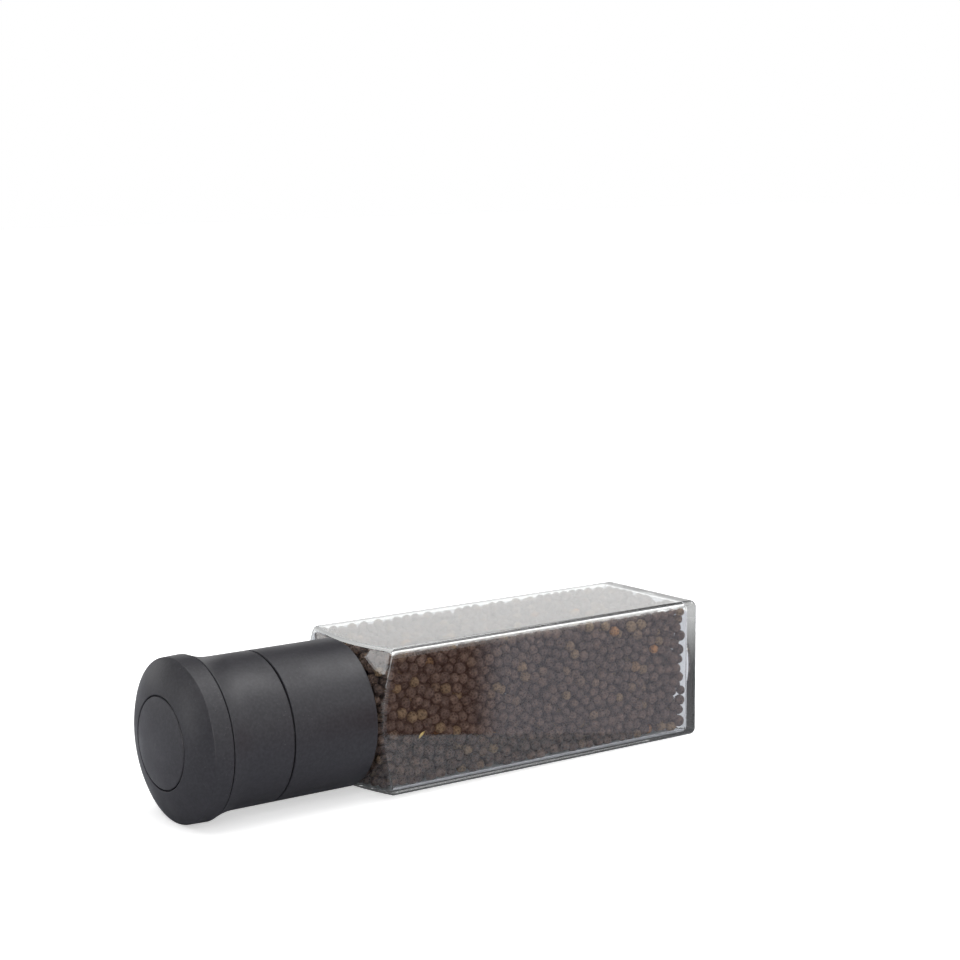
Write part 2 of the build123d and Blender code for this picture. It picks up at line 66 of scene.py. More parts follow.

# Dirt and dust, and the painted shade in the corns' creases
CREASE_SHADE = (0.004, 0.003, 0.0025)
HOUSE_DUST = (0.16, 0.16, 0.155)
PEPPER_DUST = (0.26, 0.19, 0.12)
GRIME = (0.30, 0.26, 0.20)

# Pouring: the corns start small, swell to full size, and settle gently in the last rounds
POUR_ROUNDS = 160
START_SIZE = 0.55
SWELL = 0.75
EARLY_PUSH = 0.85
LATE_PUSH = 0.6
LATE_FROM = 0.7

# One corn, with a radius of 1
CORN_SHAPES = 6
FINE_CUTS = 6
COARSE_CUTS = 3
CORN_BODY = 0.945
LUMP_HEIGHT = 0.055
LUMP_SCALE = 1.1
RIDGE_HEIGHT = 0.055
RIDGE_SCALE = 1.55
RIDGE_WIDTH = 0.28

# Which corns are made, in millimetres
OUTER_DEPTH = 1.3  # gap to the glass up to which a corn is finely cut
SHOWN_DEPTH = 8.5  # gap beyond which the other corns hide it
INNER_SPLITS = (58, 112)  # heights over the base between the three inner heaps

# The sliver of husk on the front wall, in millimetres along (v, h), and u for its depth
HUSK_FOOT = Vector((-7.5, 135.8))
HUSK_TIP = Vector((-5.3, 133.1))
HUSK_DEPTH = 25.62
HUSK_HALF_WIDTH = 0.56
HUSK_TEAR = 0.06
HUSK_BOW = 0.22
HUSK_CURL = 0.16
HUSK_LIFT = 0.10
HUSK_THICKNESS = 0.09

# The floor's painted pool of light before the head, and where the floor turns quite white, in metres
PATCH_LEFT = (-0.10, 0.0)
PATCH_FRONT = (-0.20, -0.11)
WHITE_FROM = (0.4, 1.5)

# The room: the edges of its backdrop and of its front wall, as parts of a unit direction
ROOM_TONE = (0.93, 0.95, 1.0)
BACKDROP_TOP = (0.16, 0.42)
BACKDROP_SIDES = (-0.25, 0.45)
WALL_EDGE = (0.55, 0.95)

# Softboxes: place, width and height in metres, and the setting that gives the power
SOFTBOXES = {
    "top_softbox": ((-0.1, 0.1, 1.8), 2.4, 2.4, "top"),
    "front_softbox": ((-0.9, -1.1, 0.55), 0.8, 1.0, "key"),
    "base_softbox": ((1.0, -0.1, 1.2), 0.9, 0.9, "base"),
    "lid_softbox": ((-1.15, 0.45, 0.34), 0.32, 0.70, "side"),
}

# The glowing card that paints a reflection in the front glass, in metres, and the stretch of its width over
# which its tone changes
CARD_SIZE = (0.149, 0.064)
CARD_PLACE = (0.0555, -0.0758, 0.032)
CARD_TURN = (math.radians(90), 0.0, math.radians(36.7))
CARD_FADE = (0.39, 0.51)

SENSOR_WIDTH = 36.0

# The mill's own axes in the row frame, read from the bottle's base face: u towards the
# viewer's side, v up, h along the mill from its base to its lid.
BASE_FACE = frame["record"]["mounts"][0]
TO_LID = -Vector(BASE_FACE["axis"]).normalized()
TO_VIEWER = Vector((0.0, -1.0, 0.0))
TO_SKY = TO_LID.cross(TO_VIEWER)
BASE_MIDDLE = Vector((BASE_FACE["pos_m"][0], 0.0, BASE_FACE["pos_m"][2]))
MILL_AXES = np.array([TO_VIEWER, TO_SKY, TO_LID])


def row_places(local_mm):
    """Points given as (u, v, h) in millimetres, as row-frame points in metres."""
    return np.asarray(local_mm) * MM @ MILL_AXES + np.array(BASE_MIDDLE)


# Settings


def colour(name, description, default):
    return FloatVectorProperty(
        name=name, description=description, default=default, subtype="COLOR", size=3, min=0, max=1
    )


def share(name, description, default):
    return FloatProperty(
        name=name, description=description, default=default, subtype="FACTOR", min=0, max=1
    )


def length(name, description, default):
    return FloatProperty(
        name=name, description=description, default=default, unit="LENGTH", precision=5
    )


def brightness(name, description, default):
    return FloatProperty(name=name, description=description, default=default)


def power(name, description, default):
    return FloatProperty(name=name, description=description, default=default, unit="POWER")


class BottleLook(bpy.types.PropertyGroup):
    """The glass of the bottle."""

    tint: colour("Tint", "Colour of the light that the glass lets through", (0.985, 0.995, 0.99))
    ripple: length("Ripple", "Height of the soft waves left by the mould", 0.00003)
    # painted light: how brightly the wall glows where rays are caught inside it
    painted_glow: share("Guided", "Brightness of the light that runs along inside the wall", 0.55)


class CornLook(bpy.types.PropertyGroup):
    """The loose fill of peppercorns."""

    radius: length("Radius", "Mean radius of a peppercorn", 0.00208)
    spread: length("Spread", "How much the radius varies", 0.00016)
    count: IntProperty(name="Count", description="Corns that fill the bottle", default=6600, min=100)
    seed: IntProperty(name="Seed", description="Another number pours the corns anew", default=7)
    dark: colour("Dark", "Colour of most corns", (0.056, 0.037, 0.036))
    brown: colour("Brown", "Colour of the browner corns", (0.092, 0.060, 0.052))
    tan: colour("Tan", "Colour of the pale corns", (0.17, 0.115, 0.068))
    rust: colour("Rust", "Colour of the few reddest corns", (0.34, 0.15, 0.045))
    husk: colour("Husk", "Colour of a stray sliver of husk", (0.60, 0.44, 0.15))


class HeadLook(bpy.types.PropertyGroup):
    """The black mouldings of the grinding head."""

    black: colour("Black", "Colour of the head's plastic", (0.0125, 0.0118, 0.0155))
    disc: colour("Disc", "Colour of the disc in the lid", (0.019, 0.018, 0.022))
    grey: colour("Grey", "Colour of the inner mouldings", (0.11, 0.11, 0.115))
    roughness: share("Roughness", "Roughness of the moulded surface", 0.36)
    grain: length("Grain", "Height of the fine moulded grain", 0.000045)


class InsideLook(bpy.types.PropertyGroup):
    """The burrs, metal pieces and seals inside the head."""

    ceramic: colour("Ceramic", "Colour of the two burrs", (0.76, 0.72, 0.64))
    steel: colour("Steel", "Colour of the steel pieces", (0.56, 0.56, 0.57))
    brass: colour("Brass", "Colour of the adjuster's nut", (0.72, 0.50, 0.20))
    seal: colour("Seal", "Colour of the soft seals", (0.72, 0.71, 0.68))
    nylon: colour("Nylon", "Colour of the slip washer", (0.035, 0.035, 0.036))


class StageLook(bpy.types.PropertyGroup):
    """Floor, light and camera."""

    floor: colour("Floor", "Colour of the floor", (0.90, 0.90, 0.90))
    bounce: colour("Bounce", "Colour that the floor throws back on the mill", (0.50, 0.51, 0.55))
    floor_size: length("Floor size", "Width of the floor", 12.0)
    glow: brightness("Glow", "How much the floor's shadows are lifted", 0.5)
    backdrop: brightness("Backdrop", "Brightness of the backdrop", 1.12)
    room: brightness("Room", "Brightness of the rest of the room", 0.05)
    fill: brightness("Fill", "Brightness of the wall that fills the front", 1.1)
    fill_from: FloatVectorProperty(
        name="Fill from",
        description="Where that wall is",
        default=(0.60, -0.68, 0.42),
        subtype="DIRECTION",
    )
    # painted reflection: the two tones that the glowing card shows in the front glass
    shade: colour("Shade", "What the front glass mirrors by the head", (0.30, 0.16, 0.125))
    haze: colour("Haze", "What the front glass mirrors by the base", (0.83, 0.80, 0.88))
    top: power("Top", "Power of the overhead softbox", 33.0)
    key: power("Key", "Power of the front softbox", 9.5)
    base: power("Base", "Power of the softbox by the base", 5.0)
    side: power("Side", "Power of the softbox by the lid", 2.1)
    camera: FloatVectorProperty(
        name="Camera",
        description="Where the camera stands",
        default=(-0.46265, -0.66667, 0.23399),
        subtype="TRANSLATION",
        unit="LENGTH",
        precision=4,
    )
    aim: FloatVectorProperty(
        name="Aim",
        description="Direction that the camera looks along",
        default=(0.58585, 0.79663, -0.14884),
        subtype="DIRECTION",
        precision=4,
    )
    roll: FloatProperty(
        name="Roll",
        description="Turn of the camera about its line of sight",
        default=math.radians(-0.8),
        subtype="ANGLE",
    )
    lens: FloatProperty(name="Lens", description="Focal length of the camera", default=81.93, unit="CAMERA")


# Shader maths


class Value:
    """A socket that takes part in Python arithmetic: each operation adds a Math node."""

    def __init__(self, shades, socket):
        self.shades = shades
        self.socket = socket

    def math(self, operation, first, second=0.0):
        return self.shades.node("Math", {"operation": operation}, {0: first, 1: second})

    def __add__(self, other):
        return self.math("ADD", self, other)

    def __radd__(self, other):
        return self.math("ADD", other, self)

    def __sub__(self, other):
        return self.math("SUBTRACT", self, other)

    def __rsub__(self, other):
        return self.math("SUBTRACT", other, self)

    def __mul__(self, other):
        return self.math("MULTIPLY", self, other)

    def __rmul__(self, other):
        return self.math("MULTIPLY", other, self)

    def between(self, low, high):
        """0 below low, 1 above high, and a smooth step from one to the other."""
        limits = {"Value": self, "From Min": low, "From Max": high}
        return self.shades.node("MapRange", {"interpolation_type": "SMOOTHSTEP"}, limits)


class Shades:
    """The node tree of one new material, or of a new world."""

    def __init__(self, name, kind="materials"):
        self.made = getattr(bpy.data, kind).new(name)
        self.made.use_nodes = True
        self.tree = self.made.node_tree
        self.tree.nodes.clear()

    def node(self, kind, settings=None, sockets=None, out=0):
        """Adds a shader node: its settings first, then the values or links of its sockets."""
        made = self.tree.nodes.new("ShaderNode" + kind)
        for name, value in (settings or {}).items():
            if name == "stops":
                self.set_stops(made.color_ramp, value)
            else:
                setattr(made, name, value)
        for name, value in (sockets or {}).items():
            if isinstance(value, Value):
                self.tree.links.new(value.socket, made.inputs[name])
            else:
                made.inputs[name].default_value = value
        return Value(self, made.outputs[out]) if made.outputs else made

    @staticmethod
    def set_stops(ramp, stops):
        while len(ramp.elements) < len(stops):
            ramp.elements.new(1.0)
        for element, (place, tone) in zip(ramp.elements, stops):
            element.position = place
            element.color = (*tone, 1.0)

    def places(self, stretch=(1, 1, 1)):
        """Places in the row frame at rest, in metres; they travel with the piece."""
        at = self.node("TexCoord", out="Object")
        if stretch == (1, 1, 1):
            return at
        return self.node("VectorMath", {"operation": "MULTIPLY"}, {0: at, 1: stretch})

    def clouds(self, size, detail=2.0, stretch=(1, 1, 1)):
        """Soft noise from 0 to 1, with spots of about the given size in metres."""
        sockets = {"Vector": self.places(stretch), "Scale": 1.0 / size, "Detail": detail}
        return self.node("TexNoise", {}, sockets)

    def part(self, vector, axis):
        """One of the three numbers of a vector."""
        return self.node("SeparateXYZ", {}, {0: vector}, out=axis)

    def towards(self, way, direction):
        """How nearly one way lies along a direction: 1 is along it, 0 is square to it."""
        return self.node("VectorMath", {"operation": "DOT_PRODUCT"}, {0: way, 1: direction}, out="Value")

    def cells(self, size):
        """Distance to the edge of a net of cells of the given size in metres."""
        sockets = {"Vector": self.places(), "Scale": 1.0 / size}
        return self.node("TexVoronoi", {"feature": "DISTANCE_TO_EDGE"}, sockets, out="Distance")

    def blend(self, amount, first, second):
        """A colour between two others."""
        return self.node("Mix", {"data_type": "RGBA"}, {0: amount, 6: first, 7: second}, out=2)

    def bump(self, height, distance, strength=1.0):
        """A normal that stands in for relief of the given height in metres."""
        sockets = {"Strength": strength, "Distance": distance, "Height": height}
        return self.node("Bump", {}, sockets)

    def finish(self, shader, output="OutputMaterial"):
        """Joins the shader to the output and hands over the material or world."""
        self.node(output, {}, {"Surface": shader})
        return self.made

    def principled(self, **sockets):
        """A Principled surface; a socket's name is written with underscores."""
        named = {name.replace("_", " "): value for name, value in sockets.items()}
        return self.node("BsdfPrincipled", {}, named)


def opaque(rgb, strength=1.0):
    """A colour with its alpha, made brighter or darker by a strength."""
    return (*(c * strength for c in rgb), 1.0)


# Finishes


def clear_glass(look):
    """Clear bottle glass with the soft waves of its mould; light reaches the fill through it. Rays caught
    inside the wall see a glow instead: painted light, dim near the floor and brighter towards the top.
    """
    s = Shades("clear_glass")
    waves = s.clouds(MOULD_WAVES, detail=1.0)
    glass = s.principled(
        Base_Color=opaque(look.tint),
        Roughness=0.0,
        IOR=GLASS_IOR,
        Transmission_Weight=1.0,
        Normal=s.bump(waves, distance=look.ripple),
    )
    height = s.part(s.places(), "Z")
    low = opaque(look.tint, look.painted_glow * PAINTED_GLOW_LOW)
    high = opaque(look.tint, look.painted_glow)
    # painted light: a caught ray sees a glow, dim near the floor and brighter towards the top
    painted_glow = s.principled(
        Base_Color=opaque(BLACK),
        Emission_Color=s.blend(height.between(*PAINTED_GLOW_HEIGHTS), low, high),
        Emission_Strength=1.0,
    )
    bounces = s.node("LightPath", out="Glossy Depth")
    clear = s.node("MixShader", {}, {0: bounces.between(*CAUGHT_AFTER), 1: glass, 2: painted_glow})
    passing = s.node("BsdfTransparent", {}, {"Color": opaque(look.tint)})
    shadow = s.node("LightPath", out="Is Shadow Ray")
    return s.finish(s.node("MixShader", {}, {0: shadow, 1: clear, 2: passing}))


def pepper_skin(look):
    """Dry wrinkled skin: painted shade in the hollows, paler worn ridges, a few brown and tan corns."""
    s = Shades("pepper_skin")
    tone = s.node("Attribute", {"attribute_name": "corn_tone"}, out="Fac")
    stops = [
        (0.0, look.dark),
        (0.45, look.dark),
        (0.62, look.brown),
        (0.84, look.brown),
        (0.93, look.tan),
        (0.985, look.tan),
        (1.0, look.rust),
    ]
    body = s.node("ValToRGB", {"stops": stops}, {0: tone})
    net = s.cells(size=0.0011)
    hollow = net.between(0.02, 0.34)
    fine = s.clouds(size=0.00035, detail=3.0)
    worn = (1 - hollow) * fine.between(0.35, 0.75)
    pale = s.blend(0.75, body, opaque(look.tan))
    skin = s.blend(worn * 0.7, body, pale)
    # painted shade: the hollows of the net darken towards the crease shade
    shade = s.blend(hollow * 0.68, skin, opaque(CREASE_SHADE))
    height = fine * 0.35 - hollow
    surface = s.principled(
        Base_Color=shade,
        Roughness=0.55 + fine * 0.3,
        Specular_IOR_Level=0.2,
        Normal=s.bump(height, distance=0.00022, strength=0.9),
    )
    return s.finish(surface)


def straw(look):
    """Pale dry husk with fibres along it."""
    s = Shades("straw")
    fibres = s.clouds(size=0.0006, detail=3.0, stretch=(0.3, 1, 1))
    tint = s.blend(fibres.between(0.35, 0.7), opaque(look.husk), opaque(look.husk, 0.45))
    relief = s.bump(fibres, distance=0.00005, strength=0.6)
    return s.finish(s.principled(Base_Color=tint, Roughness=0.6, Normal=relief))


def moulded(name, rgb, look, polish=0.0):
    """Moulded plastic: a fine spark-eroded grain, faint smudges and a little dust."""
    s = Shades(name)
    grain = s.clouds(size=0.00022, detail=2.0)
    coarse = s.clouds(size=0.0011, detail=3.0)
    smudge = s.clouds(size=0.016, detail=3.0)
    dust = s.clouds(size=0.0005, detail=1.0).between(0.70, 0.78) * smudge.between(0.42, 0.62)
    lighter = opaque([min(1.0, c * 1.5 + 0.004) for c in rgb])
    body = s.blend(coarse.between(0.3, 0.75), opaque(rgb), lighter)
    dusty = s.blend(dust * 0.35, body, opaque(HOUSE_DUST))
    surface = s.principled(
        Base_Color=dusty,
        Roughness=look.roughness - polish + smudge.between(0.35, 0.7) * 0.12 + grain * 0.06,
        Specular_IOR_Level=0.5,
        Normal=s.bump(grain * 0.7 + coarse * 0.5, distance=look.grain, strength=0.6),
    )
    return s.finish(surface)


def fired_ceramic(look):
    """Sintered ceramic: matte, off-white, with fine pores and a film of pepper dust."""
    s = Shades("fired_ceramic")
    pores = s.clouds(size=0.0003, detail=3.0)
    film = s.clouds(size=0.004, detail=4.0).between(0.45, 0.75)
    pitted = opaque(look.ceramic, 0.62)
    body = s.blend(pores.between(0.62, 0.75), opaque(look.ceramic), pitted)
    surface = s.principled(
        Base_Color=s.blend(film * 0.5, body, opaque(PEPPER_DUST)),
        Roughness=0.42 + pores * 0.2,
        Normal=s.bump(pores, distance=0.00004, strength=0.6),
    )
    return s.finish(surface)


def drawn_metal(name, rgb, roughness):
    """Drawn or turned metal with fine lines along it and a dull bloom."""
    s = Shades(name)
    lines = s.clouds(size=0.0004, detail=3.0, stretch=(0.06, 1, 1))
    bloom = s.clouds(size=0.003, detail=3.0)
    dull = opaque(rgb, 0.72)
    surface = s.principled(
        Base_Color=s.blend(bloom.between(0.35, 0.75), opaque(rgb), dull),
        Metallic=1.0,
        Roughness=roughness + lines * 0.16 + bloom * 0.08,
        Normal=s.bump(lines, distance=0.00002, strength=0.5),
    )
    return s.finish(surface)


def soft_rubber(look):
    """Soft translucent-looking seal, matte, with a trace of dust."""
    s = Shades("soft_rubber")
    skin = s.clouds(size=0.0006, detail=3.0)
    grime = s.clouds(size=0.005, detail=3.0).between(0.5, 0.8)
    surface = s.principled(
        Base_Color=s.blend(grime * 0.35, opaque(look.seal), opaque(GRIME)),
        Roughness=0.62 + skin * 0.2,
        Normal=s.bump(skin, distance=0.00003, strength=0.5),
    )
    return s.finish(surface)


def pale_floor(look):
    """Seamless pale paper with the faintest tooth. What the camera sees is lifted to white;
    what the mill is lit by is dimmer, apart from a painted pool of light before the head."""
    s = Shades("pale_floor")
    tooth = s.clouds(size=0.002, detail=3.0)
    tint = s.blend(tooth * 0.2, opaque(look.floor), opaque(look.floor, 0.98))
    left = 1 - s.part(s.places(), "X").between(*PATCH_LEFT)
    front = 1 - s.part(s.places(), "Y").between(*PATCH_FRONT)
    # painted light: a brighter floor colour before the head, seen only by the mill
    bounce = s.blend(left * front, opaque(look.bounce), opaque(look.floor))
    paper = s.principled(Base_Color=bounce, Roughness=0.85, Specular_IOR_Level=0.1)
    away = s.node("VectorMath", {"operation": "LENGTH"}, {0: s.places()}, out="Value")
    lifted = s.principled(
        Base_Color=tint,
        Roughness=0.85,
        Specular_IOR_Level=0.1,
        Emission_Color=s.blend(away.between(*WHITE_FROM), opaque(WHITE, look.glow), opaque(WHITE)),
        Emission_Strength=1.0,
    )
    seen = s.node("LightPath", out="Is Camera Ray")
    return s.finish(s.node("MixShader", {}, {0: seen, 1: paper, 2: lifted}))


def studio_room(look):
    """White to the eye; it lights with a low backdrop, a wall to the front and a dim room."""
    s = Shades("studio_room", "worlds")
    way = s.node("TexCoord", out="Generated")
    level = Vector((look.aim[0], look.aim[1], 0)).normalized()
    low = 1 - s.part(way, "Z").between(*BACKDROP_TOP)
    behind = s.towards(way, level).between(*BACKDROP_SIDES) * low
    room = s.node("Background", {}, {"Color": opaque(ROOM_TONE), "Strength": look.room})
    backdrop = s.node("Background", {}, {"Color": opaque(WHITE), "Strength": look.backdrop})
    facing = s.towards(way, Vector(look.fill_from).normalized())
    wall = s.node("Background", {}, {"Color": opaque(WHITE), "Strength": look.fill})
    dim = s.node("MixShader", {}, {0: facing.between(*WALL_EDGE), 1: room, 2: wall})
    lit = s.node("MixShader", {}, {0: behind, 1: dim, 2: backdrop})
    seen = s.node("LightPath", out="Is Camera Ray")
    white = s.node("Background", {}, {"Color": opaque(WHITE), "Strength": 1.0})
    return s.finish(s.node("MixShader", {}, {0: seen, 1: lit, 2: white}), "OutputWorld")


def reflector_card(look):
    """A card that glows a dark warm brown on its left and a pale grey from there on: a painted reflection
    for the front glass.
    """
    s = Shades("reflector_card")
    along = s.part(s.node("TexCoord", out="Generated"), "X")
    glow = s.blend(along.between(*CARD_FADE), opaque(look.shade), opaque(look.haze))
    card = s.principled(
        Base_Color=opaque(BLACK),
        Roughness=0.9,
        Specular_IOR_Level=0.0,
        Emission_Color=glow,
        Emission_Strength=1.0,
    )
    return s.finish(card)


def paint(material, *nodes):
    """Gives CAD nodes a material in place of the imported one."""
    for name in nodes:
        mesh = frame["nodes"][name].data
        mesh.materials.clear()
        mesh.materials.append(material)


# The fill


class Hollow:
    """The bottle's inside as (u, v, h) in millimetres, a hair within the glass."""

    outside = 27.5
    wall = 1.95
    half = outside - wall
    corner = 2.4
    floor = 4.75
    face = 152.2
    slope = math.radians(23.5)
    bore = 18.05
    top = 173.4

    def roof(self, radius):
        """Height of the sloping shoulder over a radius."""
        rise = (self.outside - radius) * math.tan(self.slope)
        return self.face + rise - self.wall / math.cos(self.slope)

    def lowest(self):
        return np.array([-self.half, -self.half, self.floor])

    def highest(self):
        return np.array([self.half, self.half, self.top])

    def depths(self, at):
        """Distance of each place from the side walls, the floor, the shoulder and the neck's top."""
        over = np.abs(at[:, :2]) - (self.half - self.corner)
        beyond = np.maximum(over, 0)
        side = self.corner - np.hypot(*beyond.T) - np.minimum(over.max(1), 0)
        radius = np.hypot(at[:, 0], at[:, 1])
        shoulder = (self.roof(radius) - at[:, 2]) * math.cos(self.slope)
        in_neck = at[:, 2] > self.roof(self.bore)
        neck = np.where(in_neck, self.bore - radius, 1e3)
        shoulder = np.where(radius < self.bore, np.maximum(shoulder, neck), shoulder)
        return np.stack([side, at[:, 2] - self.floor, shoulder, self.top - at[:, 2]])

    def keep_in(self, at, radii):
        """Moves spheres that cross a wall back inside."""
        at[:, 2] = np.clip(at[:, 2], self.floor + radii, self.top - radii)
        inner = self.half - self.corner
        over = np.abs(at[:, :2]) - inner
        beyond = np.maximum(over, 0)
        reach = np.hypot(*beyond.T)
        room = np.maximum(self.corner - radii, 0)
        out = (over.min(1) > 0) & (reach > room)
        drawn = np.sign(at[:, :2]) * (inner + beyond * (room / np.maximum(reach, 1e-9))[:, None])
        at[out, :2] = drawn[out]
        limit = (self.half - radii)[:, None]
        at[:, :2] = np.clip(at[:, :2], -limit, limit)
        radius = np.maximum(np.hypot(at[:, 0], at[:, 1]), 1e-9)
        gap = (self.roof(radius) - at[:, 2]) * math.cos(self.slope) - radii
        out = (gap < 0) & (radius > self.bore - radii)
        neck = out & (at[:, 2] > self.roof(self.bore) - radii)
        body = out & ~neck
        at[body, :2] *= (1 + gap[body] * math.sin(self.slope) / radius[body])[:, None]
        at[body, 2] += gap[body] * math.cos(self.slope)
        at[neck, :2] *= ((self.bore - radii[neck]) / radius[neck])[:, None]


def near_pairs(at, lowest, shape, size, most=10):
    """Index pairs of places in the same or neighbouring cells of a grid."""
    cell = ((at - lowest) / size).astype(int) + 1
    number = (cell[:, 0] * shape[1] + cell[:, 1]) * shape[2] + cell[:, 2]
    order = np.argsort(number, kind="stable")
    ranked = number[order]
    rank = np.arange(len(at)) - np.searchsorted(ranked, ranked)
    fits = rank < most
    table = np.full((int(np.prod(shape)), most), -1)
    table[ranked[fits], rank[fits]] = order[fits]
    first = np.repeat(np.arange(len(at)), most)
    pairs = []
    for step in np.ndindex(3, 3, 3):
        x, y, z = np.array(step) - 1
        offset = (x * shape[1] + y) * shape[2] + z
        if offset < 0:
            continue
        second = table[number + offset].ravel()
        real = second >= 0
        if offset == 0:
            real &= second > first
        pairs.append(np.stack([first[real], second[real]]))
    return np.concatenate(pairs, axis=1)


def pour(look, hollow, rng):
    """Fills the hollow: corns swell to size from scattered places and push each other apart."""
    mean = look.radius / MM
    spread = look.spread / MM
    radii = np.clip(rng.normal(mean, spread, look.count), mean - 2 * spread, mean + 2 * spread)
    lowest = hollow.lowest()
    highest = hollow.highest()
    at = rng.uniform(lowest, highest, (4 * look.count, 3))
    at = at[hollow.depths(at).min(0) > mean / 2][: look.count]
    if len(at) < look.count:
        raise RuntimeError("the hollow has too little room for so many corns")
    size = 2 * radii.max()
    shape = ((highest - lowest) / size).astype(int) + 4
    for step in range(POUR_ROUNDS):
        swollen = radii * min(1.0, START_SIZE + SWELL * step / POUR_ROUNDS)
        first, second = near_pairs(at, lowest, shape, size)
        apart = at[first] - at[second]
        distance = np.linalg.norm(apart, axis=1) + 1e-9
        overlap = swollen[first] + swollen[second] - distance
        hit = overlap > 0
        first = first[hit]
        second = second[hit]
        push = apart[hit] * (0.5 * overlap[hit] / distance[hit])[:, None]
        ease = EARLY_PUSH if step < LATE_FROM * POUR_ROUNDS else LATE_PUSH
        for axis in range(3):
            gained = np.bincount(first, push[:, axis], look.count)
            lost = np.bincount(second, push[:, axis], look.count)
            at[:, axis] += ease * (gained - lost)
        hollow.keep_in(at, swollen)
    return at, radii


def wrinkled_corn(cuts, seed):
    """Points and faces of a unit corn: a lumpy ball with a net of ridges."""
    bm = bmesh.new()
    bmesh.ops.create_cube(bm, size=2.0)
    bmesh.ops.subdivide_edges(bm, edges=bm.edges[:], cuts=cuts - 1, use_grid_fill=True)
    shift = Vector((17.3 * seed, 5.1 * seed, 9.7 * seed))
    for vert in bm.verts:
        way = Vector([math.tan(c * math.pi / 4) for c in vert.co]).normalized()
        lump = LUMP_HEIGHT * noise.noise(way * LUMP_SCALE + shift)
        near = noise.voronoi(way * RIDGE_SCALE + shift)[0]
        ridge = max(0.0, 1.0 - (near[1] - near[0]) / RIDGE_WIDTH)
        vert.co = way * (CORN_BODY + lump + RIDGE_HEIGHT * ridge * ridge)
    bm.verts.ensure_lookup_table()
    points = np.array([v.co[:] for v in bm.verts])
    faces = np.array([[v.index for v in f.verts] for f in bm.faces])
    bm.free()
    return points, faces


def random_turns(rng, count):
    """Rotation matrices that point every way alike."""
    q = rng.normal(size=(count, 4))
    w, x, y, z = (q / np.linalg.norm(q, axis=1)[:, None]).T
    rows = [
        [1 - 2 * (y * y + z * z), 2 * (x * y - z * w), 2 * (x * z + y * w)],
        [2 * (x * y + z * w), 1 - 2 * (x * x + z * z), 2 * (y * z - x * w)],
        [2 * (x * z - y * w), 2 * (y * z + x * w), 1 - 2 * (x * x + y * y)],
    ]
    return np.array(rows).transpose(2, 0, 1)


def husk_sliver(material):
    """A thin curled scrap of husk that lies against the front wall."""
    along = (HUSK_TIP - HUSK_FOOT).normalized()
    across = Vector((-along.y, along.x))
    bm = bmesh.new()
    bmesh.ops.create_grid(bm, x_segments=14, y_segments=4, size=1.0)
    for vert in bm.verts:
        end = vert.co.x
        edge = vert.co.y
        torn = HUSK_TEAR * noise.noise(Vector((3.1 * end, edge, 4.2)))
        width = HUSK_HALF_WIDTH * (1 - abs(end) ** 2.4) + torn
        bow = HUSK_BOW * (1 - end * end)
        flat = HUSK_FOOT.lerp(HUSK_TIP, 0.5 + 0.5 * end) + across * (width * edge + bow)
        dip = HUSK_CURL * edge * edge + HUSK_LIFT * end * end
        vert.co = Vector(row_places((HUSK_DEPTH - dip, *flat)))
    bmesh.ops.solidify(bm, geom=bm.faces[:], thickness=HUSK_THICKNESS * MM)
    mesh = bpy.data.meshes.new("husk_sliver")
    bm.to_mesh(mesh)
    bm.free()
    mesh.shade_smooth()
    mesh.materials.append(material)
    return link("husk_sliver", mesh, "bottle")


def heap(name, at, radii, turns, tones, kinds, moulds, material):
    """One mesh of many corns, each a turned copy of one of the moulds."""
    points = []
    faces = []
    shades = []
    start = 0
    for kind, (shape, quads) in enumerate(moulds):
        mine = np.flatnonzero(kinds == kind)
        if not len(mine):
            continue
        made = np.einsum("nij,pj->npi", turns[mine], shape) * radii[mine, None, None] + at[mine, None]
        offsets = start + len(shape) * np.arange(len(mine))
        points.append(made.reshape(-1, 3))
        faces.append((quads[None] + offsets[:, None, None]).reshape(-1, 4))
        shades.append(np.repeat(tones[mine], len(shape)))
        start += len(shape) * len(mine)
    mesh = bpy.data.meshes.new(name)
    mesh.from_pydata(row_places(np.concatenate(points)).tolist(), [], np.concatenate(faces).tolist())
    mesh.shade_smooth()
    tone = mesh.attributes.new("corn_tone", "FLOAT", "POINT")
    tone.data.foreach_set("value", np.concatenate(shades).astype(np.float32))
    mesh.materials.append(material)
    return link(name, mesh, "bottle")


def link(name, mesh, body):
    """A new piece that rides on a body."""
    piece = bpy.data.objects.new(name, mesh)
    bpy.context.scene.collection.objects.link(piece)
    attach(piece, body)
    return piece


# Operators


class MILL_OT_bottle(bpy.types.Operator):
    """Give the bottle its clear glass"""

    bl_idname = "mill.bottle"
    bl_label = "Bottle"

    def execute(self, context):
        paint(clear_glass(context.scene.mill_bottle), "bottle")
        return {"FINISHED"}


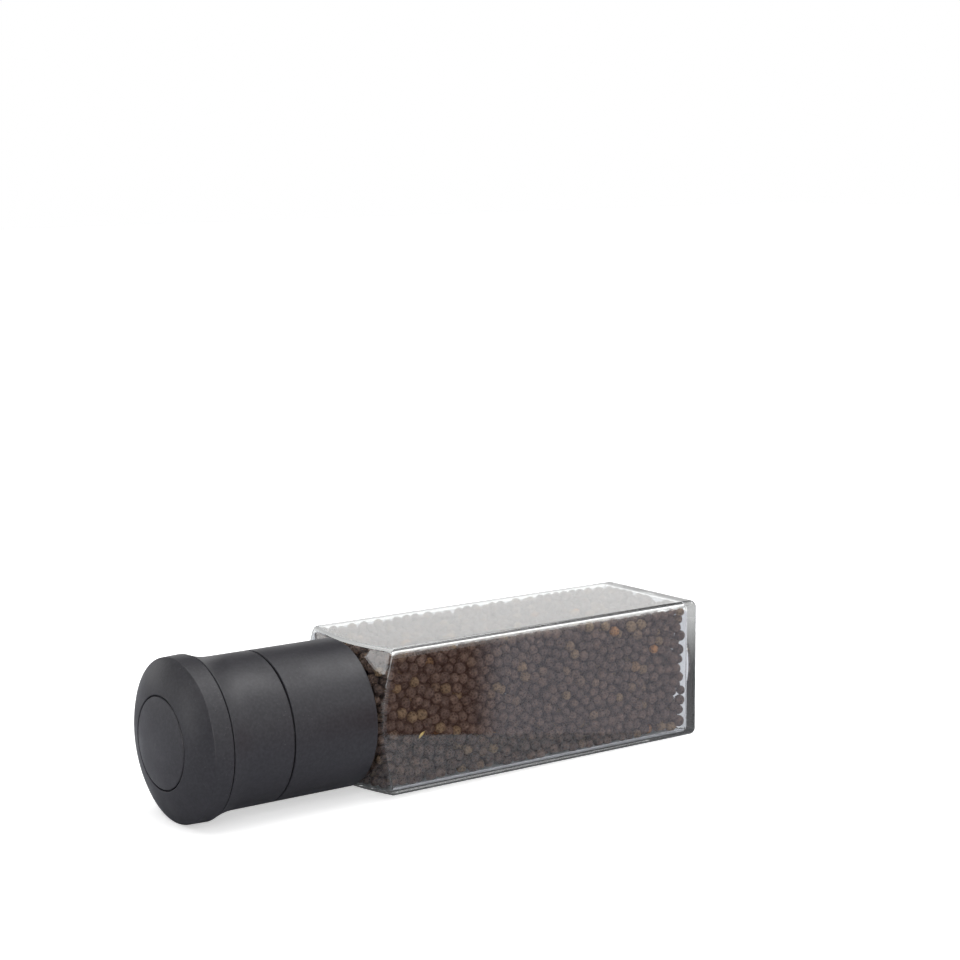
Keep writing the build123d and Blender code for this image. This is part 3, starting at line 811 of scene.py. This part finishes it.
class MILL_OT_peppercorns(bpy.types.Operator):
    """Pour the peppercorns: three layers of single corns against the glass"""

    bl_idname = "mill.peppercorns"
    bl_label = "Peppercorns"

    def execute(self, context):
        look = context.scene.mill_corns
        rng = np.random.default_rng(look.seed)
        hollow = Hollow()
        at, radii = pour(look, hollow, rng)
        turns = random_turns(rng, look.count)
        tones = rng.uniform(0, 1, look.count)
        kinds = rng.integers(0, CORN_SHAPES, look.count)
        skin = pepper_skin(look)
        walls = hollow.depths(at) - radii
        depth = walls.min(0)
        outer = depth < OUTER_DEPTH
        inner = ~outer & (depth < SHOWN_DEPTH)
        wall = walls.argmin(0)
        side = np.where(np.abs(at[:, 0]) > np.abs(at[:, 1]), np.sign(at[:, 0]), 3 * np.sign(at[:, 1]))
        groups = {
            "corns_front": outer & (wall == 0) & (side == 1),
            "corns_back": outer & (wall == 0) & (side == -1),
            "corns_upper": outer & (wall == 0) & (side == 3),
            "corns_lower": outer & (wall == 0) & (side == -3),
            "corns_ends": outer & (wall > 0),
        }
        thirds = np.digitize(at[:, 2], INNER_SPLITS)
        inner_groups = {
            "corns_inner_base": inner & (thirds == 0),
            "corns_inner_middle": inner & (thirds == 1),
            "corns_inner_neck": inner & (thirds == 2),
        }
        for cuts, heaps in ((FINE_CUTS, groups), (COARSE_CUTS, inner_groups)):
            moulds = [wrinkled_corn(cuts, kind) for kind in range(CORN_SHAPES)]
            for name, chosen in heaps.items():
                corns = (values[chosen] for values in (at, radii, turns, tones, kinds))
                piece = heap(name, *corns, moulds, skin)
                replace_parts(piece, "peppercorns")
        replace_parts(husk_sliver(straw(look)), "peppercorns")
        return {"FINISHED"}


class MILL_OT_head_shell(bpy.types.Operator):
    """Give the head's outer mouldings their black grained plastic"""

    bl_idname = "mill.head_shell"
    bl_label = "Head shell"

    def execute(self, context):
        look = context.scene.mill_head
        paint(moulded("black_plastic", look.black, look), "head_base", "collar", "lid", "bridge")
        paint(moulded("disc_plastic", look.disc, look, polish=0.05), "lid_disc")
        return {"FINISHED"}


class MILL_OT_inner_mouldings(bpy.types.Operator):
    """Give the adjuster knob, the burr's retainer and the slip washer their plastics"""

    bl_idname = "mill.inner_mouldings"
    bl_label = "Inner mouldings"

    def execute(self, context):
        look = context.scene.mill_head
        paint(moulded("grey_plastic", look.grey, look), "adjuster_knob", "burr_retainer")
        paint(moulded("slip_nylon", context.scene.mill_inside.nylon, look, polish=0.2), "slip_washer")
        return {"FINISHED"}


class MILL_OT_burrs(bpy.types.Operator):
    """Give the ring and cone burrs their ceramic"""

    bl_idname = "mill.burrs"
    bl_label = "Burrs"

    def execute(self, context):
        paint(fired_ceramic(context.scene.mill_inside), "ring_burr", "cone_burr")
        return {"FINISHED"}


class MILL_OT_metalwork(bpy.types.Operator):
    """Give the spindle, spring, clips, washers, screws and nut their metals"""

    bl_idname = "mill.metalwork"
    bl_label = "Metalwork"

    def execute(self, context):
        look = context.scene.mill_inside
        steel = drawn_metal("drawn_steel", look.steel, roughness=0.26)
        paint(steel, "spindle", "spring_washer", "bridge_screws")
        darker = [c * 0.7 for c in look.steel]
        tempered = drawn_metal("spring_steel", darker, roughness=0.3)
        paint(tempered, "spring", "spindle_clip", "snap_ring")
        paint(drawn_metal("turned_brass", look.brass, roughness=0.24), "adjuster_nut")
        return {"FINISHED"}


class MILL_OT_seals(bpy.types.Operator):
    """Give the sealing liner and the lid's seal their soft rubber"""

    bl_idname = "mill.seals"
    bl_label = "Seals"

    def execute(self, context):
        paint(soft_rubber(context.scene.mill_inside), "sealing_liner", "lid_seal")
        return {"FINISHED"}


class MILL_OT_stage(bpy.types.Operator):
    """Lay the floor and set up the surroundings, the softboxes, the reflector card and the camera"""

    bl_idname = "mill.stage"
    bl_label = "Stage"

    def execute(self, context):
        look = context.scene.mill_stage
        scene = context.scene
        self.lay_floor(scene, look)
        self.light(scene, look)
        self.hold_reflector(scene, look)
        self.point_camera(scene, look)
        scene.view_settings.view_transform = "Standard"
        return {"FINISHED"}

    @staticmethod
    def lay_floor(scene, look):
        bm = bmesh.new()
        bmesh.ops.create_grid(bm, x_segments=8, y_segments=8, size=look.floor_size / 2)
        mesh = bpy.data.meshes.new("floor")
        bm.to_mesh(mesh)
        bm.free()
        mesh.materials.append(pale_floor(look))
        floor = bpy.data.objects.new("floor", mesh)
        scene.collection.objects.link(floor)

    @staticmethod
    def light(scene, look):
        scene.world = studio_room(look)
        for name, (place, width, height, setting) in SOFTBOXES.items():
            lamp = bpy.data.lights.new(name, "AREA")
            lamp.shape = "RECTANGLE"
            lamp.size = width
            lamp.size_y = height
            lamp.energy = getattr(look, setting)
            box = bpy.data.objects.new(name, lamp)
            box.location = place
            box.rotation_euler = (-Vector(place)).to_track_quat("-Z", "Y").to_euler()
            box.visible_camera = False
            scene.collection.objects.link(box)

    @staticmethod
    def hold_reflector(scene, look):
        """A glowing card before the bottle, seen only in mirrorings: a painted reflection, dark by the
        head, pale by the base.
        """
        bm = bmesh.new()
        bmesh.ops.create_grid(bm, x_segments=1, y_segments=4, size=0.5)
        mesh = bpy.data.meshes.new("reflector")
        bm.to_mesh(mesh)
        bm.free()
        mesh.materials.append(reflector_card(look))
        card = bpy.data.objects.new("reflector", mesh)
        card.scale = (*CARD_SIZE, 1.0)
        card.location = CARD_PLACE
        card.rotation_euler = CARD_TURN
        for kind in ("camera", "diffuse", "volume_scatter", "shadow"):
            setattr(card, "visible_" + kind, False)
        scene.collection.objects.link(card)

    @staticmethod
    def point_camera(scene, look):
        data = bpy.data.cameras.new("camera")
        data.lens = look.lens
        data.sensor_width = SENSOR_WIDTH
        data.clip_start = 0.05
        data.clip_end = 50.0
        camera = bpy.data.objects.new("camera", data)
        facing = Vector(look.aim).to_track_quat("-Z", "Y").to_matrix().to_4x4()
        camera.matrix_world = (
            Matrix.Translation(look.camera) @ facing @ Matrix.Rotation(look.roll, 4, "Z")
        )
        scene.collection.objects.link(camera)
        scene.camera = camera


class MILL_PT_sidebar(bpy.types.Panel):
    """Pieces and settings of the pepper mill"""

    bl_label = "Pepper mill"
    bl_space_type = "VIEW_3D"
    bl_region_type = "UI"
    bl_category = "Pepper mill"

    def draw(self, context):
        for operator in OPERATORS:
            self.layout.operator(operator.bl_idname)
        for name, group in SETTINGS.items():
            box = self.layout.box()
            for setting in group.__annotations__:
                box.prop(getattr(context.scene, name), setting)


OPERATORS = (
    MILL_OT_stage,
    MILL_OT_bottle,
    MILL_OT_peppercorns,
    MILL_OT_head_shell,
    MILL_OT_inner_mouldings,
    MILL_OT_burrs,
    MILL_OT_metalwork,
    MILL_OT_seals,
)
SETTINGS = {
    "mill_bottle": BottleLook,
    "mill_corns": CornLook,
    "mill_head": HeadLook,
    "mill_inside": InsideLook,
    "mill_stage": StageLook,
}


def register():
    for made in (*SETTINGS.values(), *OPERATORS, MILL_PT_sidebar):
        bpy.utils.register_class(made)
    for name, group in SETTINGS.items():
        setattr(bpy.types.Scene, name, PointerProperty(type=group))


def unregister():
    for name in SETTINGS:
        delattr(bpy.types.Scene, name)
    for made in (MILL_PT_sidebar, *reversed(OPERATORS), *reversed(SETTINGS.values())):
        bpy.utils.unregister_class(made)


def main():
    register()
    bpy.ops.mill.stage()
    bpy.ops.mill.bottle()
    bpy.ops.mill.peppercorns()
    bpy.ops.mill.head_shell()
    bpy.ops.mill.inner_mouldings()
    bpy.ops.mill.burrs()
    bpy.ops.mill.metalwork()
    bpy.ops.mill.seals()


if __name__ == "__main__":
    main()
